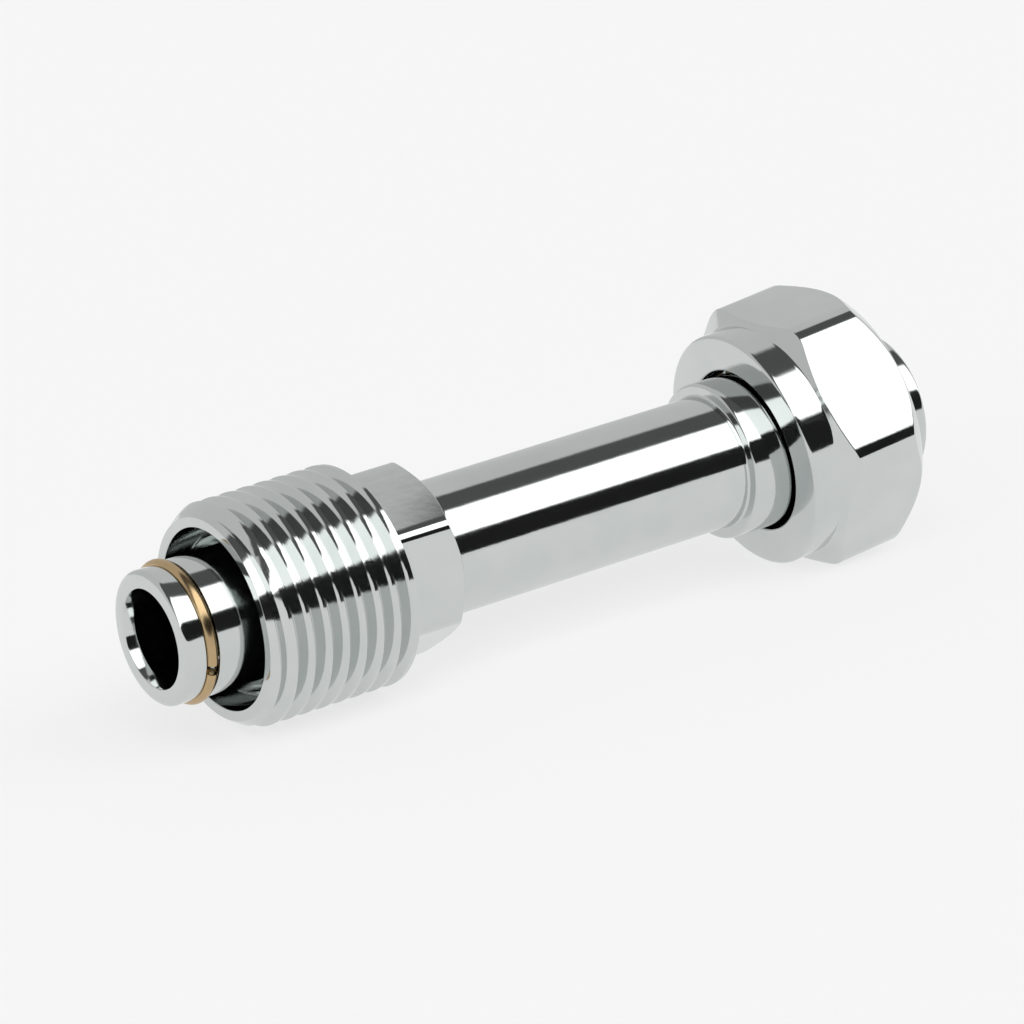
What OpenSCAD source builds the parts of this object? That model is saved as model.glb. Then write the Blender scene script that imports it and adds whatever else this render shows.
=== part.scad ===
/* [Sliding tube] */
// Length of the slim tube, from the nose to the shoulder of the pipe stub
tube_length = 61.5; // [56:0.5:90]
// Outside diameter of the slim tube
tube_d = 12.7; // [12.4:0.1:12.9]
// Outside diameter of the nose in front of the wire ring
nose_d = 12.5; // [12:0.1:12.7]
// Diameter of the waterway
water_d = 8.7; // [7:0.1:9]
// Diameter of the waterway's mouth at the nose
water_mouth_d = 9.3; // [9.1:0.1:9.8]
// Length over which that mouth narrows
water_mouth_len = 1; // [0.5:0.1:2]
// Rounding of the nose's outer edge
nose_edge = 0.5; // [0.2:0.1:0.8]

/* [Pipe stub] */
// Diameter of the stub that the nut and the olive sit on
stub_d = 15; // [14.8:0.05:15.2]
// Length of the stub
stub_length = 20.5; // [18:0.5:26]
// Rounding of the stub's edge at its shoulder
shoulder_edge = 0.3; // [0.1:0.1:0.5]
// Rounding of the stub's open end
stub_end_edge = 0.5; // [0.2:0.1:0.8]
// Bevel of the waterway at the stub's open end
water_end_bevel = 0.4; // [0.2:0.1:0.6]

/* [Wire ring] */
// Thickness of the wire
wire_d = 1.1; // [1:0.05:1.15]
// How deep the wire sits below the tube's surface
wire_sunk = 0.75; // [0.65:0.05:0.8]
// Clearance of the wire in its groove
wire_clear = 0.03; // [0.02:0.01:0.05]
// Distance from the nose to the groove
groove_from_nose = 1.95; // [1.6:0.05:3]
// Width of the groove
groove_width = 1.3; // [1.25:0.05:1.6]
// Gap between the two ends of the wire
wire_gap = 0.9; // [0.5:0.1:2]
// Angle of that gap below the level, towards the front
wire_gap_angle = 19; // [0:1:180]

/* [Threaded body] */
// Distance from the nose to the body's mouth
body_from_nose = 6.5; // [5:0.5:20]
// Length of the threaded part
thread_length = 15.2; // [15:0.2:20]
// Length of the spanner hexagon
body_hex_length = 6.6; // [5:0.2:9]
// Width across the hexagon's flats
body_hex_af = 16; // [15.5:0.1:18]
// Rounding of the hexagon's corners
body_hex_corner = 1.3; // [0.6:0.1:2]
// Angle that the body has been turned to
body_hex_turn = 27; // [0:1:60]
// Bevel at the hexagon's end
body_hex_bevel = 38; // [25:1:45]
// Diameter of the wide mouth
mouth_d = 16.9; // [15.6:0.1:17.2]
// Depth of the wide mouth
mouth_depth = 7.5; // [6:0.1:7.6]
// Radial clearance of the body on the tube
guide_clear = 0.05; // [0.02:0.01:0.1]

/* [Thread] */
// Diameter over the crests
thread_major_d = 20.955; // [20.8:0.005:21.2]
// Distance from one crest to the next
thread_pitch = 1.814; // [1.8:0.001:1.9]
// Depth of the groove
thread_depth = 1.162; // [1:0.002:1.2]
// Width of a crest
thread_crest = 0.42; // [0.4:0.01:0.5]
// Angle between the flanks
thread_angle = 55; // [50:1:56]
// Length of the lead-in cone at the mouth
thread_lead = 1.6; // [1:0.1:2.5]
// Plain rim between the last groove and the hexagon
thread_rim = 0.6; // [0.4:0.1:1.5]

/* [Seals] */
// Depth of a seal groove, from the tube's surface to the groove's floor
seal_groove_depth = 1.55; // [1.4:0.05:1.7]
// Width of a seal groove
seal_groove_w = 2.4; // [2.2:0.1:2.5]
// Width of a seal squeezed into its groove
seal_w = 2; // [1.6:0.1:2.1]
// Rounding of a seal's section
seal_edge = 0.65; // [0.3:0.05:0.7]
// Land between the mouth's floor, the grooves and each other
seal_land = 0.9; // [0.6:0.1:1]
// Clearance of a seal on the tube and in its groove
seal_clear = 0.03; // [0.02:0.01:0.05]

/* [Olive] */
// Largest diameter of the olive
olive_d = 16.6; // [16.1:0.1:16.7]
// Diameter at the olive's two ends
olive_end_d = 15.9; // [15.7:0.1:16]
// Length of the olive
olive_length = 5.6; // [4.5:0.1:6]
// Length of the cone at each end of the olive
olive_cone = 1.7; // [1.2:0.1:2]
// Radial clearance of the olive on the stub
olive_clear = 0.05; // [0.03:0.01:0.1]
// Distance from the nut's face to the olive
olive_from_face = 4.4; // [4.3:0.1:5]

/* [Union nut] */
// Distance from the shoulder to the nut's face
nut_from_shoulder = 4.15; // [3:0.05:6]
// Width across the flats
nut_af = 24; // [24:0.5:27]
// Rounding of the corners
nut_corner = 3; // [1:0.5:4]
// Whole length of the nut
nut_length = 12.2; // [12:0.2:16]
// Diameter of the round collar
collar_d = 22.9; // [22:0.1:23]
// Length of the round collar
collar_length = 3; // [2:0.1:4]
// Rounding of the collar's outer edge
collar_edge = 0.4; // [0.2:0.1:0.8]
// Slope of the shoulder between the collar and the flats
collar_slope = 27; // [20:1:40]
// Bevel at the nut's open end
nut_bevel = 47; // [30:1:50]
// Diameter of the hole round the stub
nut_hole_d = 15.9; // [15.8:0.05:16.1]
// Rounding of that hole's edge
nut_hole_edge = 0.3; // [0.1:0.1:0.5]
// Thickness of the nut's end wall
nut_wall = 2.6; // [2:0.1:2.8]
// Length of the cone that presses on the olive
nut_cone = 2.2; // [1.8:0.1:2.4]
// How far the loose nut leans up along the stub
nut_lean = 6.1; // [0:0.1:6.5]
// How far it leans towards the front
nut_yaw = 1.9; // [-2:0.1:2]

/* [Hidden] */
$fn = 96;
far = 50;

// Stations along the pipe. Zero is the shoulder of the stub
nose_x = -tube_length;
groove_x = nose_x + groove_from_nose;
body_x = nose_x + body_from_nose;
mouth_floor_x = body_x + mouth_depth;
front_groove_x = mouth_floor_x + seal_land;
rear_groove_x = front_groove_x + seal_groove_w + seal_land;
hex_x = body_x + thread_length;
body_end_x = hex_x + body_hex_length;
olive_x = nut_from_shoulder + olive_from_face;

tube_r = tube_d / 2;
nose_r = nose_d / 2;
stub_r = stub_d / 2;
water_r = water_d / 2;

wire_r = wire_d / 2;
wire_track_r = tube_r - wire_sunk + wire_r;
wire_x = groove_x + wire_clear + wire_r;
groove_floor_r = tube_r - wire_sunk - wire_clear;

thread_r = thread_major_d / 2;
thread_root_r = thread_r - thread_depth;
thread_face_r = thread_root_r + 0.1;
flank_slope = tan(thread_angle / 2);
cut_over = 0.25;

seal_groove_r = tube_r + seal_groove_depth;
seal_in_r = tube_r + seal_clear;
seal_out_r = seal_groove_r - seal_clear;

// A hexagon's end face is this much smaller than its flats
hex_face_inset = 0.2;
corner_room = 4;
collar_fillet = 0.4;
nut_thread_x = nut_wall + nut_cone;
nut_entry = 1.2;

// Points of an arc: its centre, its radius, its first and last angle
function arc(centre, r, from, to, steps = 6) =
    [for (i = [0 : steps]) let (a = from + (to - from) * i / steps)
        [centre[0] + r * cos(a), centre[1] + r * sin(a)]];

// Turns a section about the pipe's axis. Each point is [radius, distance along the pipe]
module turned(section) {
    rotate([0, 90, 0])
        rotate_extrude()
            polygon(section);
}

// A round bar or a drill along the pipe
module along(r, from, to) {
    translate([from, 0, 0])
        rotate([0, 90, 0])
            cylinder(r = r, h = to - from);
}

// A hexagon bar along the pipe, with rounded corners and a flat at the bottom
module hex_bar(af, corner, from, to) {
    reach = (af / 2 - corner) / cos(30);
    translate([from, 0, 0])
        rotate([0, 90, 0])
            linear_extrude(to - from)
                polygon([for (a = [30 : 60 : 330])
                    each arc([reach * cos(a), reach * sin(a)], corner, a - 30, a + 30, 10)]);
}

// V grooves side by side, cut from one radius to another. They start at a given station and
// fill the given length
module thread_grooves(from_r, to_r, start, length) {
    outward = to_r > from_r ? 1 : -1;
    half_groove = (thread_pitch - thread_crest) / 2;
    tip = half_groove - thread_depth * flank_slope;
    base = half_groove + cut_over * flank_slope;
    count = floor((length - thread_crest) / thread_pitch);
    for (i = [0 : count - 1])
        let (x = start + thread_pitch * (i + 0.5))
            turned([[to_r, x - tip],
                    [to_r, x + tip],
                    [from_r - outward * cut_over, x + base],
                    [from_r - outward * cut_over, x - base]]);
}

module sliding_tube() {
    color("gainsboro")
        turned(concat(
            [[water_mouth_d / 2, nose_x]],
            arc([nose_r - nose_edge, nose_x + nose_edge], nose_edge, -90, 0),
            [[nose_r, groove_x],
             [groove_floor_r, groove_x],
             [groove_floor_r, groove_x + groove_width],
             [tube_r, groove_x + groove_width],
             [tube_r, 0]],
            arc([stub_r - shoulder_edge, shoulder_edge], shoulder_edge, -90, 0),
            arc([stub_r - stub_end_edge, stub_length - stub_end_edge], stub_end_edge, 0, 90),
            [[water_r + water_end_bevel, stub_length],
             [water_r, stub_length - water_end_bevel],
             [water_r, nose_x + water_mouth_len]]));
}

module retaining_ring() {
    gap = 2 * asin(wire_gap / 2 / wire_track_r);
    color("darkgoldenrod")
        translate([wire_x, 0, 0])
            rotate([0, 90, 0])
                rotate([0, 0, wire_gap_angle - 90 + gap / 2])
                    rotate_extrude(angle = 360 - gap)
                        translate([wire_track_r, 0])
                            circle(r = wire_r);
}

module body_outside() {
    bevel_r = body_hex_af / 2 - hex_face_inset;
    turned([[0, body_x],
            [thread_face_r, body_x],
            [thread_r, body_x + thread_lead],
            [thread_r, hex_x],
            [0, hex_x]]);
    rotate([body_hex_turn, 0, 0])
        intersection() {
            hex_bar(body_hex_af, body_hex_corner, mouth_floor_x, body_end_x);
            turned([[0, mouth_floor_x],
                    [bevel_r + corner_room, mouth_floor_x],
                    [bevel_r + corner_room, body_end_x - corner_room * tan(body_hex_bevel)],
                    [bevel_r, body_end_x],
                    [0, body_end_x]]);
        }
}

module threaded_body() {
    color("silver")
        difference() {
            body_outside();
            along(mouth_d / 2, body_x - far, mouth_floor_x);
            along(tube_r + guide_clear, body_x, body_end_x + far);
            along(seal_groove_r, front_groove_x, front_groove_x + seal_groove_w);
            along(seal_groove_r, rear_groove_x, rear_groove_x + seal_groove_w);
            thread_grooves(thread_r, thread_root_r, body_x, thread_length - thread_rim);
        }
}

// A round seal pressed into its groove, which starts at this station
module seal(groove_start) {
    low = groove_start + (seal_groove_w - seal_w) / 2 + seal_edge;
    high = low + seal_w - 2 * seal_edge;
    color("dimgray")
        turned(concat(
            arc([seal_in_r + seal_edge, low], seal_edge, 180, 270),
            arc([seal_out_r - seal_edge, low], seal_edge, 270, 360),
            arc([seal_out_r - seal_edge, high], seal_edge, 0, 90),
            arc([seal_in_r + seal_edge, high], seal_edge, 90, 180)));
}

module front_seal() {
    seal(front_groove_x);
}

module rear_seal() {
    seal(rear_groove_x);
}

module olive() {
    olive_end_x = olive_x + olive_length;
    color("goldenrod")
        turned([[stub_r + olive_clear, olive_x],
                [olive_end_d / 2, olive_x],
                [olive_d / 2, olive_x + olive_cone],
                [olive_d / 2, olive_end_x - olive_cone],
                [olive_end_d / 2, olive_end_x],
                [stub_r + olive_clear, olive_end_x]]);
}

// The nut's outside in its own frame, with its face at zero
module nut_blank() {
    collar_r = collar_d / 2;
    slope_r = collar_r + collar_fillet * (1 - sin(collar_slope));
    slope_x = collar_length + collar_fillet * cos(collar_slope);
    bevel_r = nut_af / 2 - hex_face_inset;
    turned(concat(
        [[0, 0]],
        arc([collar_r - collar_edge, collar_edge], collar_edge, -90, 0),
        [[collar_r, collar_length + 1],
         [0, collar_length + 1]]));
    intersection() {
        hex_bar(nut_af, nut_corner, collar_length, nut_length);
        turned(concat(
            [[0, collar_length]],
            arc([collar_r + collar_fillet, collar_length], collar_fillet,
                180, 90 + collar_slope),
            [[slope_r + corner_room, slope_x + corner_room * tan(collar_slope)],
             [bevel_r + corner_room, nut_length - corner_room * tan(nut_bevel)],
             [bevel_r, nut_length],
             [0, nut_length]]));
    }
}

module nut_bore() {
    hole_r = nut_hole_d / 2;
    turned(concat(
        [[0, -far],
         [hole_r + nut_hole_edge, -far]],
        arc([hole_r + nut_hole_edge, nut_hole_edge], nut_hole_edge, 270, 180),
        [[hole_r, nut_wall],
         [thread_root_r, nut_thread_x],
         [thread_root_r, nut_length - nut_entry],
         [thread_root_r + nut_entry, nut_length],
         [thread_root_r + nut_entry, nut_length + far],
         [0, nut_length + far]]));
}

module union_nut() {
    color("lightgray")
        translate([nut_from_shoulder, 0, 0])
            rotate([0, -nut_lean, -nut_yaw])
                difference() {
                    nut_blank();
                    nut_bore();
                    thread_grooves(thread_root_r, thread_r, nut_thread_x,
                                   nut_length - nut_thread_x);
                }
}

sliding_tube();
retaining_ring();
threaded_body();
front_seal();
rear_seal();
olive();
union_nut();
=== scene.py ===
"""The looks of the telescopic pipe extension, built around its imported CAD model."""

import math

import bmesh
import bpy
from mathutils import Euler, Matrix, Vector


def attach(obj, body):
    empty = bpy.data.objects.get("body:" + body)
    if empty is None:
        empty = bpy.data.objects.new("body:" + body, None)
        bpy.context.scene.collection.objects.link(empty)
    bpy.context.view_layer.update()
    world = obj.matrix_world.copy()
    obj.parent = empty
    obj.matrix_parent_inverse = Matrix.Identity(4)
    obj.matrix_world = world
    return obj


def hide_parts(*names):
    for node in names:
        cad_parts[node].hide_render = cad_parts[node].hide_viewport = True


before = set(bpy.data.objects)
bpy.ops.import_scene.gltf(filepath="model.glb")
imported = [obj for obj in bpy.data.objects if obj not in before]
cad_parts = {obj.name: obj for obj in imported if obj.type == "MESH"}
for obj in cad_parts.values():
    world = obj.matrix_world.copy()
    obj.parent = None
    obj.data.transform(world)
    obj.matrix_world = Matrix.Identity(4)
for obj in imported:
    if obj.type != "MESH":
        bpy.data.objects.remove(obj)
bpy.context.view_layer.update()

mm = 0.001

# Sizes of the fitting, as in the CAD model. The pipe's axis is X, and zero is the stub's shoulder
nose_x = -61.5 * mm
tube_r = 6.35 * mm
nose_r = 6.25 * mm
nose_edge = 0.5 * mm
water_r = 4.35 * mm
water_mouth_r = 4.65 * mm
water_mouth_length = 1.0 * mm
stub_r = 7.5 * mm
stub_end_x = 20.5 * mm

groove_x = -59.55 * mm
groove_width = 1.3 * mm
groove_floor_r = 5.57 * mm
wire_r = 0.55 * mm
wire_x = groove_x + 0.03 * mm + wire_r
wire_track_r = 6.15 * mm
wire_gap = 0.9 * mm
wire_gap_below_level = 19

body_x = -55.0 * mm
body_hex_x = -39.8 * mm
body_end_x = -33.2 * mm
body_bore_r = 6.4 * mm
body_mouth_r = 8.45 * mm
body_mouth_floor_x = -47.5 * mm
body_flats = 16.0 * mm
body_corner = 1.3 * mm
body_turn = 27
body_bevel = 38

thread_r = 10.4775 * mm
thread_pitch = 1.814 * mm
thread_depth = 1.162 * mm
thread_crest = 0.42 * mm
thread_root_r = thread_r - thread_depth
thread_half_angle = 27.5
thread_lead = 1.6 * mm

nut_x = 4.15 * mm
nut_turned = Euler((0, math.radians(-6.1), math.radians(-1.9)))
nut_flats = 24.0 * mm
nut_corner = 3.0 * mm
nut_length = 12.2 * mm
nut_bevel = 47
nut_slope = 27
collar_r = 11.45 * mm
collar_length = 3.0 * mm
nut_hole_r = 7.95 * mm
nut_wall = 2.6 * mm
nut_cone_end = 4.8 * mm
nut_entry = 1.2 * mm

olive_x = 8.55 * mm
olive_length = 5.6 * mm
olive_cone = 1.7 * mm
olive_r = 8.3 * mm
olive_end_r = 7.95 * mm
olive_bore_r = 7.55 * mm

# A flat of each hexagon is this much wider than the face it ends in
face_inset = 0.2 * mm
columns = 240
rounding_steps = 5


# Shapes

def clear_selection():
    if bpy.context.object and bpy.context.object.mode != "OBJECT":
        bpy.ops.object.mode_set(mode="OBJECT")
    bpy.ops.object.select_all(action="DESELECT")


def only(piece):
    clear_selection()
    piece.select_set(True)
    bpy.context.view_layer.objects.active = piece


def rounded(corners):
    """A closed section from its corners. Each is (radius, place along the pipe, rounding)."""
    points = []
    for before, corner, after in zip(corners[-1:] + corners[:-1], corners,
                                     corners[1:] + corners[:1]):
        here = Vector(corner[:2])
        back = (Vector(before[:2]) - here).normalized()
        on = (Vector(after[:2]) - here).normalized()
        half = back.angle(on) / 2
        if not corner[2]:
            points.append(here)
            continue
        centre = here + (back + on).normalized() * corner[2] / math.sin(half)
        start = here + back * corner[2] / math.tan(half) - centre
        sweep = start.angle_signed(here + on * corner[2] / math.tan(half) - centre)
        for step in range(rounding_steps + 1):
            spoke = start.copy()
            spoke.rotate(Matrix.Rotation(-sweep * step / rounding_steps, 2))
            points.append(centre + spoke)
    return points


def turned(name, section_at):
    """A ring of points, extruded from each point of the section to the next and back to the
    first. section_at gives the closed section at an angle round the pipe."""
    clear_selection()
    bpy.ops.mesh.primitive_circle_add(vertices=columns, radius=tube_r,
                                      rotation=(0, math.pi / 2, 0))
    piece = bpy.context.object
    piece.name = name
    bpy.ops.object.transform_apply(rotation=True)
    bpy.ops.object.mode_set(mode="EDIT")
    bpy.ops.mesh.select_all(action="SELECT")
    sections = {}
    for row in range(len(section_at(0)) + 1):
        if row:
            bpy.ops.mesh.extrude_region_move()
        grid = bmesh.from_edit_mesh(piece.data)
        for point in grid.verts:
            if not point.select:
                continue
            angle = round(math.degrees(math.atan2(point.co.z, point.co.y)), 4)
            if angle not in sections:
                sections[angle] = section_at(angle)
            section = sections[angle]
            radius, place = section[row % len(section)]
            turn = math.radians(angle)
            point.co = (place, radius * math.cos(turn), radius * math.sin(turn))
        bmesh.update_edit_mesh(piece.data)
    bpy.ops.mesh.select_all(action="SELECT")
    bpy.ops.mesh.remove_doubles(threshold=0.0001 * mm)
    bpy.ops.mesh.normals_make_consistent(inside=False)
    bpy.ops.object.mode_set(mode="OBJECT")
    return piece


def hexagon_reach(angle, flats, corner, turn):
    """How far a hexagon with rounded corners reaches from its centre at an angle."""
    from_corner = 30 - abs((angle - turn + 90 + 30) % 60 - 30)
    centre = (flats / 2 - corner) / math.cos(math.radians(30))
    offset = math.radians(from_corner)
    flat_reach = flats / 2 / math.cos(math.radians(30 - from_corner))
    flat_edge = (flats / 2 - corner) * math.tan(math.radians(30))
    if flats / 2 * math.tan(math.radians(30 - from_corner)) <= flat_edge:
        return flat_reach
    return centre * math.cos(offset) + math.sqrt(
        corner ** 2 - (centre * math.sin(offset)) ** 2)


def cut_away(piece, cutter):
    only(piece)
    bpy.ops.object.modifier_add(type="BOOLEAN")
    cut = piece.modifiers[-1]
    cut.operation = "DIFFERENCE"
    cut.solver = "EXACT"
    cut.object = cutter
    bpy.ops.object.modifier_apply(modifier=cut.name)
    bpy.data.objects.remove(cutter)


def helix_cutter(start_x, end_x, groove, fade_turns):
    """The path of a threading tool. groove is its section as (radius, place), with the groove's
    middle at place zero, at the bottom of the pipe. Over the last fade_turns it draws back."""
    steps = 96
    clear_selection()
    bpy.ops.mesh.primitive_circle_add(vertices=len(groove), radius=thread_r)
    cutter = bpy.context.object
    for point, (radius, place) in zip(cutter.data.vertices, groove):
        point.co = (start_x + place, 0, -radius)
    turns = (end_x - start_x) / thread_pitch
    bpy.ops.object.modifier_add(type="SCREW")
    screw = cutter.modifiers[-1]
    screw.axis = "X"
    screw.angle = 2 * math.pi * turns
    screw.screw_offset = end_x - start_x
    screw.steps = screw.render_steps = round(steps * turns)
    bpy.ops.object.modifier_apply(modifier=screw.name)
    outward = math.copysign(1, groove[0][0] - groove[len(groove) // 2][0])
    for point in cutter.data.vertices:
        angle = math.atan2(point.co.y, -point.co.z)
        middle = start_x + thread_pitch * round(
            (point.co.x - start_x) / thread_pitch - angle / (2 * math.pi)) \
            + thread_pitch * angle / (2 * math.pi)
        gone = 1 - (end_x - middle) / thread_pitch / fade_turns
        if gone > 0:
            spoke = Vector((0, point.co.y, point.co.z)).normalized()
            point.co += spoke * outward * 1.25 * thread_depth * gone ** 1.3
    bpy.ops.object.mode_set(mode="EDIT")
    bpy.ops.mesh.select_all(action="SELECT")
    bpy.ops.mesh.fill_holes(sides=0)
    bpy.ops.mesh.select_all(action="SELECT")
    bpy.ops.mesh.normals_make_consistent(inside=False)
    bpy.ops.object.mode_set(mode="OBJECT")
    return cutter


def smooth(piece, angle=30):
    only(piece)
    bpy.ops.object.shade_smooth_by_angle(angle=math.radians(angle))


def stand_for(piece, node, body):
    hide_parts(node)
    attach(piece, body)


# Nodes of a material

def add(tree, kind, inputs=None, **settings):
    """Adds a node. An input is named or numbered, and is a value or another node's output."""
    made = tree.nodes.new("ShaderNode" + kind)
    for name, value in settings.items():
        setattr(made, name, value)
    for name, value in (inputs or {}).items():
        if isinstance(value, bpy.types.NodeSocket):
            tree.links.new(value, made.inputs[name])
        else:
            made.inputs[name].default_value = value
    return made


def empty_material(name):
    material = bpy.data.materials.new(name)
    material.use_nodes = True
    material.node_tree.nodes.clear()
    return material, material.node_tree


def noise(tree, place, size, detail=3, roughness=0.5, stretch=(1, 1, 1)):
    """Noise whose marks are about as long as the given size in metres."""
    placed = add(tree, "Mapping", {"Vector": place, "Scale": stretch})
    return add(tree, "TexNoise", {"Vector": placed.outputs[0], "Scale": 1 / size,
                                  "Detail": detail, "Roughness": roughness}).outputs["Fac"]


def between(tree, value, low, high, low_out=0.0, high_out=1.0):
    return add(tree, "MapRange", {"Value": value, "From Min": low, "From Max": high,
                                  "To Min": low_out, "To Max": high_out}).outputs[0]


def mixed(tree, factor, first, second):
    made = add(tree, "Mix", data_type="RGBA")
    for socket, value in ((made.inputs[0], factor), (made.inputs[6], first),
                          (made.inputs[7], second)):
        if isinstance(value, bpy.types.NodeSocket):
            tree.links.new(value, socket)
        else:
            socket.default_value = value
    return made.outputs[2]


def bumped(tree, height, distance, below=None):
    inputs = {"Height": height, "Distance": distance, "Strength": 1.0}
    if below:
        inputs["Normal"] = below
    return add(tree, "Bump", inputs).outputs[0]


def plating(name, tint=(0.585, 0.612, 0.605, 1), peel=1.0):
    """Bright plating: a faint orange peel, finger haze and fine scratches."""
    material, tree = empty_material(name)
    place = add(tree, "TexCoord").outputs["Object"]
    haze = noise(tree, place, 6 * mm, detail=4)
    scratches = noise(tree, place, 0.5 * mm, detail=4, roughness=0.7, stretch=(0.08, 1, 1))
    fine = noise(tree, place, 0.22 * mm, detail=2)
    coarse = noise(tree, place, 1.6 * mm, detail=2)
    colour = mixed(tree, between(tree, haze, 0.35, 0.65), tint,
                   (tint[0] * 1.06, tint[1] * 1.05, tint[2] * 1.05, 1))
    rough = between(tree, scratches, 0.3, 0.8, 0.05, 0.13)
    normal = bumped(tree, coarse, 0.0045 * mm * peel)
    normal = bumped(tree, fine, 0.0012 * mm * peel, normal)
    shader = add(tree, "BsdfPrincipled", {"Base Color": colour, "Metallic": 1.0,
                                          "Roughness": rough, "Normal": normal})
    add(tree, "OutputMaterial", {"Surface": shader.outputs[0]})
    return material


def plain_metal(name, colour, rough):
    material, tree = empty_material(name)
    place = add(tree, "TexCoord").outputs["Object"]
    haze = noise(tree, place, 1.5 * mm, detail=4)
    shade = mixed(tree, haze, colour, tuple(0.8 * c for c in colour[:3]) + (1,))
    normal = bumped(tree, noise(tree, place, 0.2 * mm), 0.002 * mm)
    shader = add(tree, "BsdfPrincipled", {
        "Base Color": shade, "Metallic": 1.0, "Normal": normal,
        "Roughness": between(tree, haze, 0.3, 0.7, rough, rough * 1.6)})
    add(tree, "OutputMaterial", {"Surface": shader.outputs[0]})
    return material


def rubber(name):
    material, tree = empty_material(name)
    place = add(tree, "TexCoord").outputs["Object"]
    dust = noise(tree, place, 0.8 * mm, detail=4)
    shade = mixed(tree, dust, (0.015, 0.015, 0.016, 1), (0.035, 0.034, 0.033, 1))
    shader = add(tree, "BsdfPrincipled", {
        "Base Color": shade, "Roughness": between(tree, dust, 0.3, 0.7, 0.5, 0.7),
        "Normal": bumped(tree, dust, 0.004 * mm)})
    add(tree, "OutputMaterial", {"Surface": shader.outputs[0]})
    return material


# Pieces

def make_tube():
    section = rounded([
        (water_mouth_r, nose_x, 0.12 * mm),
        (nose_r, nose_x, nose_edge),
        (nose_r, groove_x, 0.06 * mm),
        (groove_floor_r, groove_x, 0.1 * mm),
        (groove_floor_r, groove_x + groove_width, 0.1 * mm),
        (tube_r, groove_x + groove_width, 0.06 * mm),
        (tube_r, 0, 0.25 * mm),
        (stub_r, 0, 0.3 * mm),
        (stub_r, stub_end_x, 0.5 * mm),
        (water_r + 0.4 * mm, stub_end_x, 0.1 * mm),
        (water_r, stub_end_x - 0.4 * mm, 0.1 * mm),
        (water_r, nose_x + water_mouth_length, 0.3 * mm)])
    tube = turned("tube", lambda angle: section)
    smooth(tube)
    return tube


def make_wire():
    around = 2 * math.asin(wire_gap / 2 / wire_track_r)
    clear_selection()
    bpy.ops.mesh.primitive_circle_add(vertices=24, radius=wire_r, location=(0, wire_track_r, 0))
    wire = bpy.context.object
    wire.name = "wire_ring"
    bpy.ops.object.transform_apply(location=True)
    bpy.ops.object.mode_set(mode="EDIT")
    bpy.ops.mesh.select_all(action="SELECT")
    bpy.ops.mesh.spin(steps=180, angle=2 * math.pi - around, center=(0, 0, 0), axis=(1, 0, 0))
    bpy.ops.mesh.select_all(action="SELECT")
    bpy.ops.mesh.fill_holes(sides=0)
    bpy.ops.mesh.select_all(action="SELECT")
    bpy.ops.mesh.normals_make_consistent(inside=False)
    bpy.ops.object.mode_set(mode="OBJECT")
    ends = [point.co for point in wire.data.vertices
            if abs(math.hypot(point.co.y, point.co.z) - wire_track_r) < wire_r]
    middle = sum((end.copy() for end in ends), Vector()) / len(ends)
    gap_now = math.atan2(-middle.z, -middle.y)
    gap_wanted = math.radians(180 + wire_gap_below_level)
    wire.data.transform(Matrix.Translation((wire_x, 0, 0))
                        @ Matrix.Rotation(gap_wanted - gap_now, 4, "X"))
    smooth(wire)
    return wire


def body_section(angle):
    reach = hexagon_reach(angle, body_flats, body_corner, body_turn)
    bevel_r = body_flats / 2 - face_inset
    bevel_x = body_end_x - (reach - bevel_r) * math.tan(math.radians(body_bevel))
    return rounded([
        (body_mouth_r, body_x, 0.12 * mm),
        (thread_root_r + 0.1 * mm, body_x, 0.08 * mm),
        (thread_r, body_x + thread_lead, 0.1 * mm),
        (thread_r, body_hex_x, 0.15 * mm),
        (reach, body_hex_x, 0.15 * mm),
        (reach, bevel_x, 0.1 * mm),
        (bevel_r, body_end_x, 0.1 * mm),
        (body_bore_r, body_end_x, 0.1 * mm),
        (body_bore_r, body_mouth_floor_x, 0.1 * mm),
        (body_mouth_r, body_mouth_floor_x, 0.4 * mm)])


def groove_section(crest_r, root_r):
    """A thread groove, with its root rounded and its crests' edges eased."""
    outward = math.copysign(1, crest_r - root_r)
    half = (thread_pitch - thread_crest) / 2
    slope = math.tan(math.radians(thread_half_angle))
    over = 0.12 * mm
    eased = 0.05 * mm
    side = [(crest_r + outward * over, half + eased + over * slope * 2.2),
            (crest_r + outward * 0.01 * mm, half + eased),
            (crest_r - outward * 0.03 * mm, half + 0.01 * mm),
            (crest_r - outward * eased * 1.6, half - eased * 1.6 * slope),
            (root_r + outward * 0.16 * mm, half - (thread_depth - 0.16 * mm) * slope),
            (root_r + outward * 0.05 * mm, 0.1 * mm),
            (root_r, 0.02 * mm)]
    return side + [(radius, -place) for radius, place in reversed(side)]


def make_body():
    body = turned("body", body_section)
    crest_x = -52.93 * mm
    crest_turn = (21.05 - 90) / 360
    first = crest_x + thread_pitch * (0.5 - 2 - crest_turn)
    last = crest_x + thread_pitch * (0.5 + 7 + 134 / 360)
    bottom_start = first - 0 * thread_pitch
    cut_away(body, helix_cutter(bottom_start, last, groove_section(thread_r, thread_root_r),
                                0.6))
    smooth(body)
    return body


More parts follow.
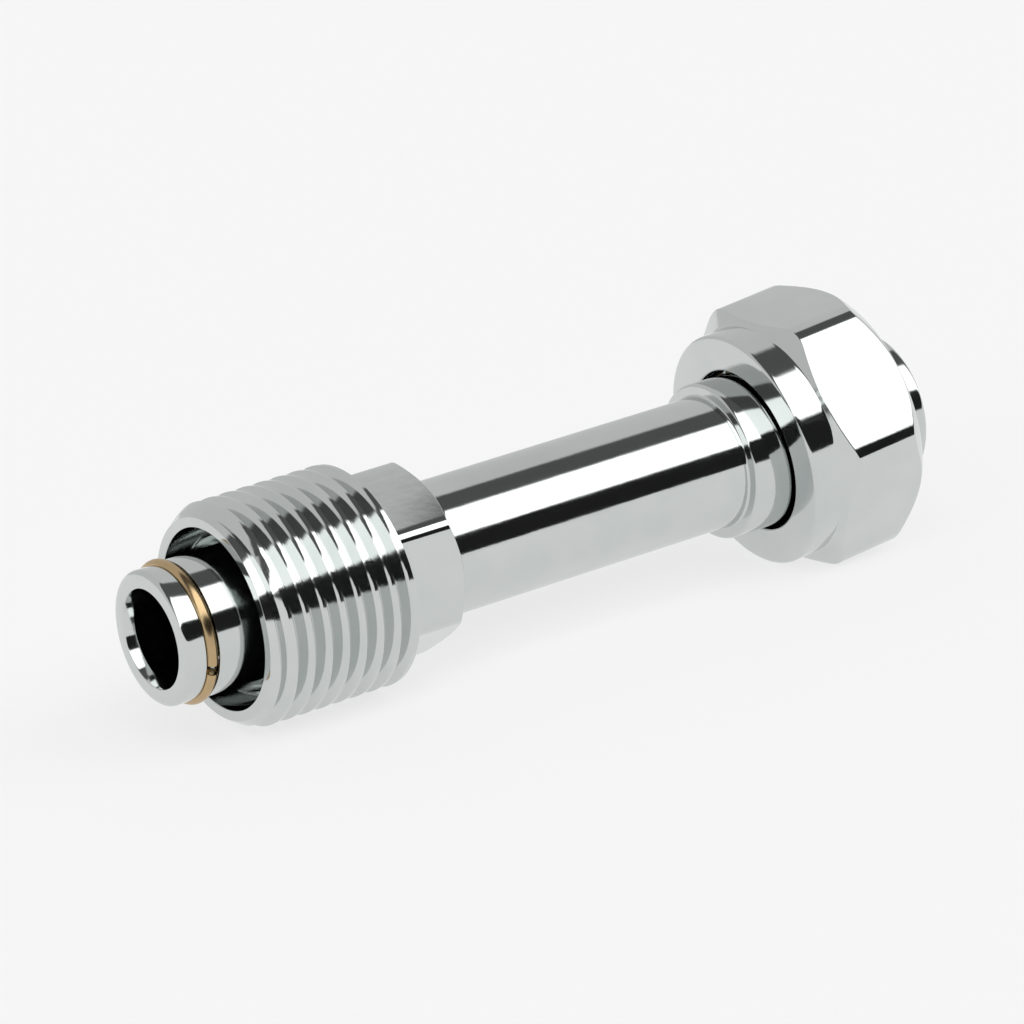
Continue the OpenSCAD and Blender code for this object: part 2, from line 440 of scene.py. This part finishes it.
def nut_section(angle):
    reach = hexagon_reach(angle, nut_flats, nut_corner, 0)
    fillet = 0.4 * mm
    slope = math.tan(math.radians(nut_slope))
    slope_x = collar_length + (reach - collar_r) * slope
    bevel_r = nut_flats / 2 - face_inset
    bevel_x = nut_length - (reach - bevel_r) * math.tan(math.radians(nut_bevel))
    return rounded([
        (nut_hole_r, 0, 0.3 * mm),
        (collar_r, 0, 0.4 * mm),
        (collar_r, collar_length, min(fillet, (reach - collar_r) * 0.45)),
        (reach, slope_x, 0.15 * mm),
        (reach, bevel_x, 0.25 * mm),
        (bevel_r, nut_length, 0.2 * mm),
        (thread_root_r + nut_entry, nut_length, 0.1 * mm),
        (thread_root_r, nut_length - nut_entry, 0.05 * mm),
        (thread_root_r, nut_cone_end, 0.05 * mm),
        (nut_hole_r, nut_wall, 0.05 * mm)])


def make_nut():
    nut = turned("nut", nut_section)
    cut_away(nut, helix_cutter(nut_cone_end + 0.9 * mm, nut_length + 1.5 * mm,
                               groove_section(thread_root_r, thread_r), 0.01))
    nut.data.transform(Matrix.Translation((nut_x, 0, 0)) @ nut_turned.to_matrix().to_4x4())
    smooth(nut)
    return nut


def make_olive():
    end_x = olive_x + olive_length
    section = rounded([
        (olive_bore_r, olive_x, 0.05 * mm),
        (olive_end_r, olive_x, 0.05 * mm),
        (olive_r, olive_x + olive_cone, 0.6 * mm),
        (olive_r, end_x - olive_cone, 0.6 * mm),
        (olive_end_r, end_x, 0.05 * mm),
        (olive_bore_r, end_x, 0.05 * mm)])
    olive = turned("compression_olive", lambda angle: section)
    smooth(olive)
    return olive


tube = make_tube()
stand_for(tube, "sliding_tube", "tube")
wire = make_wire()
stand_for(wire, "retaining_ring", "tube")
body = make_body()
stand_for(body, "threaded_body", "body")
nut = make_nut()
stand_for(nut, "union_nut", "nut")
olive = make_olive()
stand_for(olive, "olive", "compression_ring")

tube.data.materials.append(plating("tube_plating"))
body.data.materials.append(plating("body_plating"))
nut.data.materials.append(plating("nut_plating"))
wire.data.materials.append(plain_metal("bronze_wire", (0.55, 0.40, 0.22, 1), 0.15))
olive.data.materials.append(plain_metal("bare_brass", (0.75, 0.57, 0.28, 1), 0.25))
seal_rubber = rubber("seal_rubber")
for name in ("front_seal", "rear_seal"):
    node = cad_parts[name]
    node.data.materials.clear()
    node.data.materials.append(seal_rubber)


# Studio

def make_floor():
    clear_selection()
    bpy.ops.mesh.primitive_plane_add(size=12, location=(0, 0, 0))
    floor = bpy.context.object
    floor.name = "floor"
    left_contact = Vector((-53.4 * mm, 0, -10.4775 * mm))
    tilt = math.radians(0.98)
    floor.data.transform(Matrix.Translation(left_contact - Vector((0, 0, 0.01 * mm)))
                         @ Matrix.Rotation(tilt, 4, "Y"))
    material, tree = empty_material("floor_card")
    path = add(tree, "LightPath")
    seen = add(tree, "Math", {0: path.outputs["Is Camera Ray"], 1: path.outputs["Is Glossy Ray"]},
               operation="MAXIMUM").outputs[0]
    lit = add(tree, "BsdfDiffuse", {"Color": (0.8, 0.8, 0.8, 1)})
    glow = add(tree, "Emission", {"Color": (1, 1, 1, 1), "Strength": 1.0})
    half = add(tree, "MixShader", {"Fac": 0.72, 1: lit.outputs[0], 2: glow.outputs[0]})
    shown = add(tree, "MixShader", {"Fac": seen, 1: lit.outputs[0], 2: half.outputs[0]})
    add(tree, "OutputMaterial", {"Surface": shown.outputs[0]})
    floor.data.materials.append(material)


def make_studio():
    """A softbox in front, a dark room below and above it and a grey wall behind."""
    world = bpy.data.worlds.new("studio")
    bpy.context.scene.world = world
    world.use_nodes = True
    tree = world.node_tree
    tree.nodes.clear()
    way = add(tree, "SeparateXYZ", {0: add(tree, "TexCoord").outputs["Generated"]}).outputs
    front = add(tree, "Math", {0: way["Y"], 1: -1.0}, operation="MULTIPLY").outputs[0]
    rise = add(tree, "Math", {0: way["Z"], 1: front}, operation="ARCTAN2").outputs[0]
    turn = between(tree, rise, -math.pi, math.pi)
    ramp = add(tree, "ValToRGB", {"Fac": turn})
    steps = ((0.0, 0.33), (0.495, 0.33), (0.5, 0.008), (0.582, 0.008), (0.590, 1.0),
             (0.703, 1.0), (0.712, 0.05), (0.792, 0.05), (0.802, 0.33), (1.0, 0.33))
    bands = ramp.color_ramp.elements
    while len(bands) < len(steps):
        bands.new(0.5)
    for band, (place, level) in zip(bands, steps):
        band.position = place
        band.color = (level, level, level, 1)
    light = add(tree, "Background", {"Color": ramp.outputs[0], "Strength": 2.1})
    white = add(tree, "Background", {"Color": (1, 1, 1, 1), "Strength": 1.0})
    path = add(tree, "LightPath")
    shown = add(tree, "MixShader", {"Fac": path.outputs["Is Camera Ray"],
                                    1: light.outputs[0], 2: white.outputs[0]})
    add(tree, "OutputWorld", {"Surface": shown.outputs[0]})


def make_camera():
    clear_selection()
    bpy.ops.object.camera_add(location=(-273.007 * mm, -389.798 * mm, 151.183 * mm),
                              rotation=[math.radians(turn) for turn in (71.957, 6.0656, -34.7073)])
    camera = bpy.context.object
    camera.data.sensor_width = 36
    camera.data.lens = 186.66
    bpy.context.scene.camera = camera


make_floor()
make_studio()
make_camera()
bpy.context.scene.view_settings.view_transform = "Standard"
